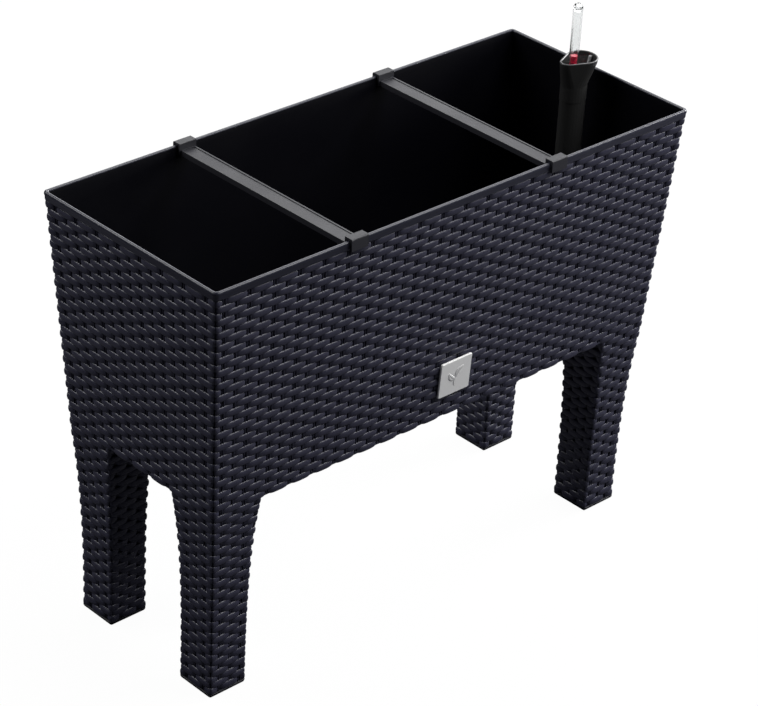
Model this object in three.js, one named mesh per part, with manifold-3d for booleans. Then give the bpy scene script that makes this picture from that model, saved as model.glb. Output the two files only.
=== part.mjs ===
// Raised self-watering planter on four legs, with a moulded basket-weave shell.
// Millimetres, +Z up. The origin is on the ground under the middle of the planter,
// +X runs along the long side to the filling tube, and -Y is the front with the badge.
import * as THREE from 'three';
import { mergeVertices } from 'three/addons/utils/BufferGeometryUtils.js';
import Module from 'manifold-3d';

const wasm = await Module();
wasm.setup();

// ---------- driving dimensions ----------
const LENGTH = 600;              // over the rim, along X
const WIDTH = 243;               // over the rim, along Y
const RIM_Z = 454;               // top of the rim
const BELLY_Z = 210;             // underside of the box between the legs
const WALL = 3;                  // moulding thickness
const GAP = 0.3;                 // clearance between pieces that touch

// walls: a straight taper, then a softer sweep down the legs
const TAPER = 0.0628;            // inset per millimetre below the rim
const FOOT_INSET = 23.8;         // inset of the footprint at the ground
const SWEEP_POWER = 2.6;
const WEAVE_DEPTH = 0.8;         // the plain wall lies this far behind the weave's crests
const BODY_CORNER = 5;           // corner radius of the box
const RIM_BAND = 8;              // smooth band under the rim bead
const RIM_THICKNESS = 3.6;

// legs: the faces that look at each other, measured from the middle of the planter
const LEG_INNER_X = 231.5;
const LEG_INNER_Y = 51.5;
const LEG_FLARE = 6.5;           // how much wider a leg is where it meets the belly
const FLARE_POWER = 4;
const LEG_CORNER = 3;
const LEG_STEPS = 7;
const LEG_SEAT = 0.15;           // a leg starts this far inside the wall line

// bars across the rim
const BAR_X = [-136, 117];
const BAR_WIDTH = 17;
const BAR_TOP_Z = 450;
const BAR_DEPTH = 5.5;
const BAR_WALL = 1.8;
const BAR_RECESS = 0.6;
const HOOK_WIDTH = 20;
const HOOK_PLATE = 2.3;
const HOOK_DROP = 9.5;           // how far the outer lip reaches below the rim top

// badge
const BADGE = { x: 9.5, z: 254.5, width: 40.5, height: 38.5, thickness: 1.8, bevel: 0.6 };
const PAD_RISE = 1.3;

// reservoir
const FLOOR_Z = BELLY_Z + WALL;
const PLATE_Z = 268;             // underside of the separator plate
const PLATE_THICKNESS = 2.5;
const PLATE_CLEARANCE = 1.5;
const CUPS = { left: -170, middle: 0, right: 160 };
const CUP_TOP_R = 28;
const CUP_BOTTOM_R = 18;
const CUP_WALL = 1.8;
const CUP_FLANGE = 3.5;
const DRAIN_X = -85;
const DRAIN_HOLE_R = 11;

// filling tube and level indicator
const TUBE_X = 265.5;
const TUBE_A = 15;               // half length of the oval, along X
const TUBE_B = 12.2;             // half width of the oval
const TUBE_WALL = 1.6;
const SPIGOT_X = 263;
const SPIGOT_A = 12.5;
const SPIGOT_B = 10.5;
const JOINT_Z = 430;             // seam between the lower tube and the funnel
const FLARE_Z = 446;             // where the funnel starts to open
const MOUTH_Z = 472;
const MOUTH_NARROW = { x: 254, r: 8 };
const MOUTH_WIDE = { x: 274, r: 16.3 };
const SIGHT_X = 262;
const SIGHT_R = 4.9;
const SIGHT_BORE_R = 3.9;
const SIGHT_BASE_Z = 456;
const SIGHT_TOP_Z = 528;
const CAP_HEIGHT = 5.5;
const FLOAT_R = 7;
const FLOAT_HEIGHT = 22;
const FLOAT_Z = 217.5;
const ROD_R = 1.2;
const MARKER_R = 3.4;
const MARKER_Z = 466.5;
const MARKER_HEIGHT = 11;

// ---------- materials ----------
const finish = (name, color, roughness, metalness = 0, opacity = 1) => new THREE.MeshStandardMaterial({
  name, color, roughness, metalness, opacity, transparent: opacity < 1,
});
const anthracite = () => finish('woven_plastic', 0x2c2e36, 0.55);
const barPlastic = () => finish('bar_plastic', 0x4a4c54, 0.5);
const blackPlastic = () => finish('black_plastic', 0x141416, 0.4);
const clearPlastic = () => finish('clear_plastic', 0xeef2f4, 0.08, 0, 0.35);
const redPlastic = () => finish('red_plastic', 0xc01030, 0.35);
const floatFoam = () => finish('float_plastic', 0xd8d8d2, 0.6);
const plateMetal = () => finish('badge_metal', 0xb9bbbe, 0.35, 0.9);
const sealRubber = () => finish('seal_rubber', 0x18181a, 0.9);

// ---------- geometry helpers ----------
// One closed body through a stack of outlines with the same number of points.
function loft(outlines) {
  const count = outlines[0].length;
  const positions = outlines.flat(2);
  const index = [];
  for (let ring = 0; ring + 1 < outlines.length; ring += 1) {
    for (let i = 0; i < count; i += 1) {
      const a = ring * count + i;
      const b = ring * count + ((i + 1) % count);
      index.push(a, b, b + count, a, b + count, a + count);
    }
  }
  const last = (outlines.length - 1) * count;
  for (let i = 1; i + 1 < count; i += 1) {
    index.push(0, i + 1, i, last, last + i, last + i + 1);
  }
  const geometry = new THREE.BufferGeometry();
  geometry.setAttribute('position', new THREE.Float32BufferAttribute(positions, 3));
  geometry.setIndex(index);
  return geometry;
}

// Rectangle with rounded corners, counter-clockwise, as [x, y, z] points.
function roundedRectangle(x, y, halfX, halfY, radius, z, segments = 4) {
  const points = [];
  for (let corner = 0; corner < 4; corner += 1) {
    const sx = corner === 0 || corner === 3 ? 1 : -1;
    const sy = corner < 2 ? 1 : -1;
    for (let i = 0; i <= segments; i += 1) {
      const angle = (corner + i / segments) * Math.PI / 2;
      points.push([
        x + sx * (halfX - radius) + radius * Math.cos(angle),
        y + sy * (halfY - radius) + radius * Math.sin(angle),
        z,
      ]);
    }
  }
  return points;
}

// Points given by the direction of their outward normal, so an offset is a plain subtraction.
function outline(pointAt, z, offset = 0, steps = 32) {
  return Array.from({ length: steps }, (_, i) => {
    const angle = 2 * Math.PI * i / steps;
    const [x, y] = pointAt(angle);
    return [x - offset * Math.cos(angle), y - offset * Math.sin(angle), z];
  });
}
const oval = (x, a, b) => (angle) => {
  const [c, s] = [Math.cos(angle), Math.sin(angle)];
  const scale = Math.hypot(a * c, b * s);
  return [x + a * a * c / scale, b * b * s / scale];
};
// Drop shape: the outline round a small circle and a large one.
const mouth = (angle) => {
  const turn = (MOUTH_NARROW.r - MOUTH_WIDE.r) / (MOUTH_WIDE.x - MOUTH_NARROW.x);
  const end = Math.cos(angle) > turn ? MOUTH_WIDE : MOUTH_NARROW;
  return [end.x + end.r * Math.cos(angle), end.r * Math.sin(angle)];
};
const between = (first, second, share) => (angle) => {
  const [a, b] = [first(angle), second(angle)];
  return [0, 1].map((k) => a[k] + share * (b[k] - a[k]));
};

function box(x0, x1, y0, y1, z0, z1) {
  const geometry = new THREE.BoxGeometry(x1 - x0, y1 - y0, z1 - z0);
  return geometry.translate((x0 + x1) / 2, (y0 + y1) / 2, (z0 + z1) / 2);
}

function cylinder(x, y, z0, z1, r0, r1 = r0, sides = 32) {
  const geometry = new THREE.CylinderGeometry(r1, r0, z1 - z0, sides);
  return geometry.rotateX(Math.PI / 2).translate(x, y, (z0 + z1) / 2);
}

// Turned piece about a vertical line: the profile is a list of [radius, z].
function turned(x, profile, sides = 32) {
  const points = profile.map(([r, z]) => new THREE.Vector2(r, z));
  return new THREE.LatheGeometry(points, sides).rotateX(Math.PI / 2).translate(x, 0, 0);
}

function solid(geometry) {
  const bare = geometry.clone();
  bare.deleteAttribute('normal');
  bare.deleteAttribute('uv');
  const merged = mergeVertices(bare, 1e-4);
  return new wasm.Manifold(new wasm.Mesh({
    numProp: 3,
    vertProperties: new Float32Array(merged.attributes.position.array),
    triVerts: new Uint32Array(merged.index.array),
  }));
}

const join = (solids) => solids.reduce((whole, piece) => whole.add(piece));
const cut = (whole, holes) => holes.reduce((rest, hole) => rest.subtract(hole), whole);

function surface(manifold) {
  const mesh = manifold.getMesh();
  const geometry = new THREE.BufferGeometry();
  const positions = new Float32Array(mesh.vertProperties);
  geometry.setAttribute('position', new THREE.BufferAttribute(positions, 3));
  geometry.setIndex(new THREE.BufferAttribute(new Uint32Array(mesh.triVerts), 1));
  geometry.computeVertexNormals();
  return geometry;
}

const planter = new THREE.Group();
function piece(name, shape, material) {
  const geometry = shape instanceof THREE.BufferGeometry ? shape : surface(shape);
  const mesh = new THREE.Mesh(geometry, material);
  mesh.name = name;
  planter.add(mesh);
  return mesh;
}

// ---------- shell ----------
// Inset of the outer wall from the rim line at height z.
function inset(z) {
  if (z >= BELLY_Z) return TAPER * (RIM_Z - z);
  const bellyInset = TAPER * (RIM_Z - BELLY_Z);
  return FOOT_INSET - (FOOT_INSET - bellyInset) * (z / BELLY_Z) ** SWEEP_POWER;
}

function bodyOutline(z, offset) {
  const back = inset(z) + WEAVE_DEPTH + offset;
  return roundedRectangle(0, 0, LENGTH / 2 - back, WIDTH / 2 - back, BODY_CORNER - Math.min(offset, 2), z);
}

function rimOutline(z, offset) {
  return roundedRectangle(0, 0, LENGTH / 2 - offset, WIDTH / 2 - offset, BODY_CORNER - offset / 2, z);
}

// Square leg section; signX and signY choose the corner of the planter.
function legOutline(signX, signY, z, offset) {
  const flare = LEG_FLARE * (Math.min(z, BELLY_Z) / BELLY_Z) ** FLARE_POWER;
  const back = inset(Math.min(z, BELLY_Z)) + WEAVE_DEPTH + LEG_SEAT;
  const outerX = LENGTH / 2 - back;
  const outerY = WIDTH / 2 - back;
  const innerX = LEG_INNER_X - flare + WEAVE_DEPTH;
  const innerY = LEG_INNER_Y - flare + WEAVE_DEPTH;
  return roundedRectangle(
    signX * (outerX + innerX) / 2,
    signY * (outerY + innerY) / 2,
    (outerX - innerX) / 2 - offset,
    (outerY - innerY) / 2 - offset,
    Math.max(LEG_CORNER - offset / 2, 1),
    z,
    2,
  );
}

function legStack(signX, signY, bottomZ, topZ, offset) {
  const stack = [];
  for (let i = 0; i <= LEG_STEPS; i += 1) {
    const z = bottomZ + (BELLY_Z - bottomZ) * i / LEG_STEPS;
    stack.push(legOutline(signX, signY, z, offset));
  }
  stack.push(legOutline(signX, signY, topZ, offset));
  return stack;
}

const corners = [[-1, -1], [1, -1], [1, 1], [-1, 1]];

function makeShell() {
  const bandZ = RIM_Z - RIM_BAND;
  const body = solid(loft([bodyOutline(BELLY_Z, 0), bodyOutline(bandZ, 0), bodyOutline(RIM_Z - 2, 0)]));
  const rim = solid(loft([
    rimOutline(bandZ - 1, 1.6),
    rimOutline(bandZ, 0.5),
    rimOutline(RIM_Z - 1.6, 0),
    rimOutline(RIM_Z - 0.5, 0.4),
    rimOutline(RIM_Z, 1.4),
  ]));
  const legs = corners.map(([sx, sy]) => {
    const foot = legOutline(sx, sy, 0, 1);
    const stack = legStack(sx, sy, 1.2, BELLY_Z + WALL / 2, 0);
    return solid(loft([foot, ...stack]));
  });
  const cavity = solid(loft([
    bodyOutline(FLOOR_Z, WALL),
    bodyOutline(bandZ, WALL),
    rimOutline(RIM_Z - 1, RIM_THICKNESS),
    rimOutline(RIM_Z + 1, RIM_THICKNESS - 0.4),
  ]));
  const wells = corners.map(([sx, sy]) => solid(loft(legStack(sx, sy, WALL, FLOOR_Z + 1, WALL))));
  const drainHole = solid(cylinder(DRAIN_X, 0, BELLY_Z - 5, FLOOR_Z + 5, DRAIN_HOLE_R));
  return cut(join([body, rim, ...legs, badgePad()]), [cavity, ...wells, drainHole]);
}

// ---------- badge ----------
const faceTilt = Math.atan(TAPER);
// Distance of the plain front wall from the middle at the badge's height.
const badgeWallY = -(WIDTH / 2 - inset(BADGE.z) - WEAVE_DEPTH);

// Lays a plate, drawn flat with its thickness along +Z, on the sloping front wall.
function onFront(geometry) {
  return geometry.rotateX(Math.PI / 2 + faceTilt).translate(BADGE.x, badgeWallY, BADGE.z);
}

function badgePad() {
  const grow = 1;
  const [x, y] = [BADGE.width / 2 + grow, BADGE.height / 2 + grow];
  const section = (z) => roundedRectangle(0, 0, x, y, 1.5, z, 2);
  return solid(onFront(loft([section(-WALL / 2), section(PAD_RISE)])));
}

function makeBadge() {
  const [x, y] = [BADGE.width / 2, BADGE.height / 2];
  const back = PAD_RISE + GAP;
  const front = back + BADGE.thickness;
  const section = (shrink, z) => roundedRectangle(0, 0, x - shrink, y - shrink, 1.5, z, 2);
  return onFront(loft([
    section(0, back),
    section(0, front - BADGE.bevel),
    section(BADGE.bevel, front),
  ]));
}

// ---------- bars that hook over the rim ----------
function makeBar(x) {
  const halfBar = BAR_WIDTH / 2;
  const halfHook = HOOK_WIDTH / 2;
  const rimInner = WIDTH / 2 - RIM_THICKNESS;
  const riserOut = rimInner - 1.2;        // clear of the wall, which slopes in below the rim
  const riserIn = riserOut - HOOK_PLATE;
  const lipIn = WIDTH / 2 + GAP;
  const lipOut = lipIn + HOOK_PLATE;
  const hookTop = RIM_Z + GAP + HOOK_PLATE;
  const barBottom = BAR_TOP_Z - BAR_DEPTH;
  const beam = solid(box(x - halfBar, x + halfBar, -riserOut, riserOut, barBottom, BAR_TOP_Z));
  const underside = solid(box(
    x - halfBar + BAR_WALL, x + halfBar - BAR_WALL,
    -riserIn + BAR_WALL, riserIn - BAR_WALL,
    barBottom - 1, BAR_TOP_Z - BAR_WALL - BAR_RECESS,
  ));
  const recess = solid(box(
    x - halfBar + BAR_WALL, x + halfBar - BAR_WALL,
    -riserIn + BAR_WALL, riserIn - BAR_WALL,
    BAR_TOP_Z - BAR_RECESS, BAR_TOP_Z + 1,
  ));
  const bar = cut(beam, [underside, recess]);
  const hooks = [-1, 1].map((side) => {
    const span = (a, b) => (side > 0 ? [a, b] : [-b, -a]);
    const riserY = span(riserIn, riserOut);
    const riser = solid(box(x - halfHook, x + halfHook, ...riserY, barBottom, hookTop - 0.5));
    const top = new THREE.Shape();
    top.moveTo(riserIn, RIM_Z + GAP);
    top.lineTo(riserIn, hookTop - 0.8);
    top.quadraticCurveTo(riserIn, hookTop, riserIn + 0.8, hookTop);
    top.lineTo(lipOut - 1.8, hookTop);
    top.quadraticCurveTo(lipOut, hookTop, lipOut, hookTop - 1.8);
    top.lineTo(lipOut, RIM_Z - HOOK_DROP);
    top.lineTo(lipIn, RIM_Z - HOOK_DROP);
    top.lineTo(lipIn, RIM_Z + GAP);
    top.closePath();
    const hook = new THREE.ExtrudeGeometry(top, {
      depth: HOOK_WIDTH, bevelEnabled: false, curveSegments: 4,
    });
    // the outline is drawn in (Y, Z) and pushed along X
    hook.applyMatrix4(new THREE.Matrix4().set(0, 0, 1, x - halfHook, 1, 0, 0, 0, 0, 1, 0, 0, 0, 0, 0, 1));
    if (side < 0) hook.rotateZ(Math.PI).translate(2 * x, 0, 0);
    return join([riser, solid(hook)]);
  });
  return join([bar, ...hooks]);
}

// ---------- separator plate and wick cups ----------
function makeSeparator() {
  const back = inset(PLATE_Z) + WEAVE_DEPTH + WALL + PLATE_CLEARANCE;
  const [halfX, halfY] = [LENGTH / 2 - back, WIDTH / 2 - back];
  const sheet = solid(loft([
    roundedRectangle(0, 0, halfX, halfY, 6, PLATE_Z),
    roundedRectangle(0, 0, halfX, halfY, 6, PLATE_Z + PLATE_THICKNESS),
  ]));
  const holes = [];
  const [pitchX, pitchY, slotX, slotY] = [36, 24, 22, 5];
  for (let column = -8; column <= 7; column += 1) {
    for (let row = -4; row <= 4; row += 1) {
      const [x, y] = [(column + 0.5) * pitchX, row * pitchY];
      const cupReach = CUP_TOP_R + CUP_FLANGE + 10;
      const nearCup = Object.values(CUPS).some((cupX) => Math.hypot(x - cupX, y) < cupReach);
      const nearTube = Math.hypot(x - TUBE_X, y) < 34;
      const inside = Math.abs(x) < halfX - 12 && Math.abs(y) < halfY - 6;
      if (inside && !nearCup && !nearTube) {
        const slot = [x - slotX / 2, x + slotX / 2, y - slotY / 2, y + slotY / 2];
        holes.push(solid(box(...slot, PLATE_Z - 1, PLATE_Z + PLATE_THICKNESS + 1)));
      }
    }
  }
  for (const x of Object.values(CUPS)) {
    holes.push(solid(cylinder(x, 0, PLATE_Z - 1, PLATE_Z + PLATE_THICKNESS + 1, CUP_TOP_R + GAP + 0.2)));
  }
  const socket = oval(SPIGOT_X, SPIGOT_A + 0.5, SPIGOT_B + 0.5);
  holes.push(solid(loft([outline(socket, PLATE_Z - 1), outline(socket, PLATE_Z + PLATE_THICKNESS + 1)])));
  return cut(sheet, holes);
}

function makeCup(x) {
  const rimZ = PLATE_Z + PLATE_THICKNESS + GAP;
  const bottomZ = FLOOR_Z + GAP;
  const cup = solid(turned(x, [
    [0, bottomZ],
    [CUP_BOTTOM_R, bottomZ],
    [CUP_TOP_R, rimZ],
    [CUP_TOP_R + CUP_FLANGE, rimZ],
    [CUP_TOP_R + CUP_FLANGE, rimZ + CUP_WALL],
    [CUP_TOP_R - CUP_WALL, rimZ + CUP_WALL],
    [CUP_BOTTOM_R - CUP_WALL, bottomZ + CUP_WALL],
    [0, bottomZ + CUP_WALL],
  ]));
  const slots = [0, 1, 2].map((i) => {
    const slot = box(-CUP_TOP_R - 5, CUP_TOP_R + 5, -2, 2, bottomZ + 6, bottomZ + 34);
    return solid(slot.rotateZ((i + 0.5) * Math.PI / 3).translate(x, 0, 0));
  });
  return cut(cup, slots);
}

// ---------- drain plug ----------
function makePlug() {
  const headTop = BELLY_Z - 2.4;
  const headBottom = headTop - 4;
  const shankR = DRAIN_HOLE_R - 0.4;
  const plug = solid(turned(DRAIN_X, [
    [0, headBottom], [16, headBottom], [17, headBottom + 1], [17, headTop], [shankR, headTop],
    [shankR, FLOOR_Z + 4], [shankR - 1, FLOOR_Z + 5], [0, FLOOR_Z + 5],
  ]));
  const slot = solid(box(DRAIN_X - 11, DRAIN_X + 11, -1.5, 1.5, headBottom - 1, headBottom + 2));
  return cut(plug, [slot]);
}

function makeSeal() {
  const [low, high] = [BELLY_Z - 2.4 + GAP, BELLY_Z - GAP];
  const [inner, outer] = [DRAIN_HOLE_R + 0.2, 15.5];
  return turned(DRAIN_X, [[inner, low], [outer, low], [outer, high], [inner, high], [inner, low]]);
}

// ---------- filling tube ----------
function tubeWall(stack) {
  const outer = solid(loft(stack.map(([shape, z]) => outline(shape, z))));
  const last = stack.length - 1;
  const inner = solid(loft(stack.map(([shape, z], i) => {
    const beyond = i === 0 ? -1 : (i === last ? 1 : 0);
    return outline(shape, z + beyond, TUBE_WALL);
  })));
  return cut(outer, [inner]);
}

function makeFillTube() {
  const spigot = oval(SPIGOT_X, SPIGOT_A, SPIGOT_B);
  const flange = oval(TUBE_X - 0.5, TUBE_A + 1.5, TUBE_B + 2);
  const barrel = oval(TUBE_X, TUBE_A - 0.5, TUBE_B - 0.5);
  const neck = oval(TUBE_X, TUBE_A - TUBE_WALL - GAP, TUBE_B - TUBE_WALL - GAP);
  const baseZ = FLOOR_Z + 1;
  const seatZ = PLATE_Z + PLATE_THICKNESS + GAP;
  const outer = join([
    solid(loft([outline(spigot, baseZ), outline(spigot, seatZ + 1)])),
    solid(loft([outline(flange, seatZ), outline(flange, seatZ + 2)])),
    solid(loft([outline(barrel, seatZ + 1), outline(barrel, JOINT_Z - GAP)])),
    solid(loft([outline(neck, JOINT_Z - 2), outline(neck, JOINT_Z + 8)])),
  ]);
  const inner = join([
    solid(loft([outline(spigot, baseZ + TUBE_WALL, TUBE_WALL), outline(spigot, seatZ + 4, TUBE_WALL)])),
    solid(loft([outline(barrel, seatZ + 3, TUBE_WALL), outline(barrel, JOINT_Z - 4, TUBE_WALL)])),
    solid(loft([outline(neck, JOINT_Z - 6, TUBE_WALL), outline(neck, JOINT_Z + 9, TUBE_WALL)])),
  ]);
  const windows = [0, 1].map((i) => {
    const [halfX, halfY] = i === 0 ? [SPIGOT_A + 3, 2.5] : [2.5, SPIGOT_B + 3];
    return solid(box(SPIGOT_X - halfX, SPIGOT_X + halfX, -halfY, halfY, baseZ + 3, baseZ + 33));
  });
  return cut(outer, [inner, ...windows]);
}

function makeFunnel() {
  const barrel = oval(TUBE_X, TUBE_A, TUBE_B);
  const shell = tubeWall([
    [barrel, JOINT_Z],
    [barrel, FLARE_Z],
    [between(barrel, mouth, 0.22), FLARE_Z + 6],
    [between(barrel, mouth, 0.62), FLARE_Z + 15],
    [between(barrel, mouth, 0.92), MOUTH_Z - 4],
    [mouth, MOUTH_Z],
  ]);
  // collar that holds the clear tube, carried by two webs
  const socketR = SIGHT_R + 0.2;
  const collar = solid(cylinder(SIGHT_X, 0, SIGHT_BASE_Z - 3, SIGHT_BASE_Z + 6, socketR + 1.4));
  const webs = solid(box(SIGHT_X - 1, SIGHT_X + 1, -13, 13, SIGHT_BASE_Z - 3, SIGHT_BASE_Z + 4));
  const bore = solid(cylinder(SIGHT_X, 0, SIGHT_BASE_Z - GAP, SIGHT_BASE_Z + 7, socketR));
  const pass = solid(cylinder(SIGHT_X, 0, SIGHT_BASE_Z - 4, SIGHT_BASE_Z + 7, SIGHT_BORE_R));
  // upright ribs on the inside of the mouth: one at each side and one at the wide end
  const ribs = [0, 0.42, -0.42].map((turn) => {
    const rib = box(0, MOUTH_WIDE.r - 0.4, -1, 1, MOUTH_Z - 14, MOUTH_Z - 1.5);
    return solid(rib.rotateZ(turn * Math.PI).translate(MOUTH_WIDE.x, 0, 0));
  });
  const ribCore = solid(cylinder(MOUTH_WIDE.x - 3, 0, FLARE_Z, MOUTH_Z + 1, 9, 14.4));
  const ribTips = cut(join(ribs), [ribCore]);
  const envelope = solid(loft([
    outline(barrel, FLARE_Z, 0.6),
    outline(between(barrel, mouth, 0.62), FLARE_Z + 15, 0.6),
    outline(between(barrel, mouth, 0.92), MOUTH_Z - 4, 0.6),
    outline(mouth, MOUTH_Z - 0.5, 0.6),
  ]));
  const inside = cut(join([collar, webs, ribTips]).intersect(envelope), [bore, pass]);
  return join([shell, inside]);
}

// ---------- level indicator ----------
function makeSightTube() {
  return turned(SIGHT_X, [
    [SIGHT_BORE_R, SIGHT_BASE_Z], [SIGHT_R, SIGHT_BASE_Z], [SIGHT_R, SIGHT_TOP_Z],
    [SIGHT_BORE_R, SIGHT_TOP_Z], [SIGHT_BORE_R, SIGHT_BASE_Z],
  ], 24);
}

function makeSightCap() {
  const base = SIGHT_TOP_Z + GAP;
  const top = SIGHT_TOP_Z + CAP_HEIGHT;
  return turned(SIGHT_X, [
    [0, base - 3], [SIGHT_BORE_R - 0.3, base - 3], [SIGHT_BORE_R - 0.3, base], [SIGHT_R, base],
    [SIGHT_R, base + 1.2], [3.6, top - 1.4], [2.4, top - 0.3], [0, top],
  ], 24);
}

// ---------- the whole planter ----------
piece('planter_shell', makeShell(), anthracite());
piece('badge_plate', makeBadge(), plateMetal());
piece('crossbar_left', makeBar(BAR_X[0]), barPlastic());
piece('crossbar_right', makeBar(BAR_X[1]), barPlastic());
piece('separator_plate', makeSeparator(), blackPlastic());
for (const [side, x] of Object.entries(CUPS)) {
  piece(`wick_cup_${side}`, makeCup(x), blackPlastic());
}
piece('drain_plug', makePlug(), blackPlastic());
piece('drain_seal', makeSeal(), sealRubber());
piece('fill_tube', makeFillTube(), blackPlastic());
piece('fill_funnel', makeFunnel(), blackPlastic());
piece('sight_tube', makeSightTube(), clearPlastic());
piece('sight_cap', makeSightCap(), clearPlastic());
const floatTop = FLOAT_Z + FLOAT_HEIGHT;
const markerTop = MARKER_Z + MARKER_HEIGHT;
piece('float_body', cylinder(SIGHT_X, 0, FLOAT_Z, floatTop, FLOAT_R), floatFoam());
piece('float_rod', cylinder(SIGHT_X, 0, floatTop + GAP, MARKER_Z - GAP, ROD_R, ROD_R, 12), floatFoam());
piece('float_marker', cylinder(SIGHT_X, 0, MARKER_Z, markerTop, MARKER_R, MARKER_R, 24), redPlastic());

export default planter;
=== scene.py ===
# %% [markdown]
# # A self-watering planter on four legs
# The real planter is a moulded plastic trough whose outside imitates a basket weave.
# Two bars hook over the rim, and a filling tube with a level indicator stands at one end.
# This lesson keeps the engineering model as the frame for the hard parts and works out the
# weave as surfaces, because the weave is what the eye reads first.
# The frame is loaded first.

# %% Load the frame
import math
import bpy
import numpy as np
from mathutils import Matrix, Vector


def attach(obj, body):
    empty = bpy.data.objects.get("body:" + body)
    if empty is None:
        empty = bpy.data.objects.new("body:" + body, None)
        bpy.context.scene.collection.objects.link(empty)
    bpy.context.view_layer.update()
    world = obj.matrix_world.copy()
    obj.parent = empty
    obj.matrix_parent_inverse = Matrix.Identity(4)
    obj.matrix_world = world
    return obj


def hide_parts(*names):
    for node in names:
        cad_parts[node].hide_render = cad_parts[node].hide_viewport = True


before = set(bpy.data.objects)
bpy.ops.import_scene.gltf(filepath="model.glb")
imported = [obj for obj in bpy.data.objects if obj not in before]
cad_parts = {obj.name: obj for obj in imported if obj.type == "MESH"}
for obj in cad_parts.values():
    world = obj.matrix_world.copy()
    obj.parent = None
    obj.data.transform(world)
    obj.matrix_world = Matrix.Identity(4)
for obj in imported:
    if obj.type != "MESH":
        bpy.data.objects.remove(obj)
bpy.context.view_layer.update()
print("frame pieces:", len(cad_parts))

# %% [markdown]
# ## The wall line
# Every wall leans in by the same small amount from the rim down to the belly, and the legs
# then sweep in a little faster. Everything on the outside follows this one curve, so it is
# written once, in millimetres, as a function of height.

# %% Main dimensions and the wall line
HALF_LENGTH, HALF_WIDTH, RIM_Z, BELLY_Z = 300.0, 121.5, 454.0, 210.0
TAPER, FOOT_INSET, SWEEP = 0.0628, 23.8, 2.6
BACKING = 3.5            # depth of the moulding behind the crests of the weave
INNER_DEPTH = 3.8        # depth of the smooth inner wall behind the crests


def inset(z):
    """How far the wall stands inside the rim line: a straight taper above the belly, and
    below it the foot inset less a power curve of the height."""
    z = np.asarray(z, float)
    belly = TAPER * (RIM_Z - BELLY_Z)
    low = np.clip(z, 0, BELLY_Z) / BELLY_Z
    swept = FOOT_INSET - (FOOT_INSET - belly) * low ** SWEEP
    return np.where(z >= BELLY_Z, TAPER * (RIM_Z - z), swept)


print("inset at rim, belly and ground:", inset([454, 210, 0]).round(2))

# %% [markdown]
# ## From arrays to a mesh
# Each piece is a grid of points. Closing a grid across one or both of its directions turns it
# into a ring, a tube or a band. Filling the mesh from whole arrays is quick even for the
# thousands of strip crossings of a weave.

# %% Mesh helpers
def new_piece(name, points, quads, material, body, smooth=True, caps=()):
    """Makes one object from points in millimetres, an array of quads and extra polygons."""
    mesh = bpy.data.meshes.new(name)
    caps = [np.asarray(c) for c in caps]
    corner_ids = np.concatenate([quads.ravel(), *caps]).astype(np.int32)
    sizes = np.concatenate([np.full(len(quads), 4), [len(c) for c in caps]]).astype(np.int32)
    mesh.vertices.add(len(points))
    mesh.vertices.foreach_set("co", (points * 0.001).astype(np.float32).ravel())
    mesh.loops.add(len(corner_ids))
    mesh.loops.foreach_set("vertex_index", corner_ids)
    mesh.polygons.add(len(sizes))
    starts = np.concatenate([[0], np.cumsum(sizes)[:-1]]).astype(np.int32)
    mesh.polygons.foreach_set("loop_start", starts)
    mesh.polygons.foreach_set("loop_total", sizes)
    mesh.polygons.foreach_set("use_smooth", np.full(len(sizes), smooth))
    mesh.update(calc_edges=True)
    mesh.materials.append(material)
    piece = bpy.data.objects.new(name, mesh)
    bpy.context.scene.collection.objects.link(piece)
    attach(piece, body)
    return piece


def grid_quads(rows, columns, close_rows=False, close_columns=False, start=0, flip=False):
    """Quads of a grid of points: each joins (i, j), (i, j+1), (i+1, j+1), (i+1, j)."""
    i = np.arange(rows if close_rows else rows - 1)[:, None]
    j = np.arange(columns if close_columns else columns - 1)[None]
    i2, j2 = (i + 1) % rows, (j + 1) % columns
    corners = [i * columns + j, i * columns + j2, i2 * columns + j2, i2 * columns + j]
    quads = np.stack([np.broadcast_to(c, (i.shape[0], j.shape[1])) for c in corners], -1)
    quads = quads.reshape(-1, 4) + start
    return quads[:, ::-1] if flip else quads


def add_value(piece, name, values):
    """Stores one number per point on the piece, for its material to read."""
    layer = piece.data.attributes.new(name, "FLOAT", "POINT")
    layer.data.foreach_set("value", np.asarray(values, np.float32).ravel())


def triangles(piece):
    """Number of triangles in a piece."""
    return sum(len(p.vertices) - 2 for p in piece.data.polygons)


# %% [markdown]
# ## Shared surface effects
# Two effects return in several finishes, so each is a node group: the fine texture that a
# mould leaves on plastic, and painted shade in the slots of the weave, where light hardly
# reaches.

# %% Node group helpers
def new_group(name, inputs, outputs):
    """An empty shader node group with named sockets, given as (name, type, default)."""
    group = bpy.data.node_groups.new(name, "ShaderNodeTree")
    for label, kind, default in inputs:
        socket = group.interface.new_socket(label, in_out="INPUT", socket_type=kind)
        socket.default_value = default
    for label, kind in outputs:
        group.interface.new_socket(label, in_out="OUTPUT", socket_type=kind)
    source = group.nodes.new("NodeGroupInput")
    target = group.nodes.new("NodeGroupOutput")
    return group, source, target


FLOAT, COLOUR, VECTOR = "NodeSocketFloat", "NodeSocketColor", "NodeSocketVector"

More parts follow.
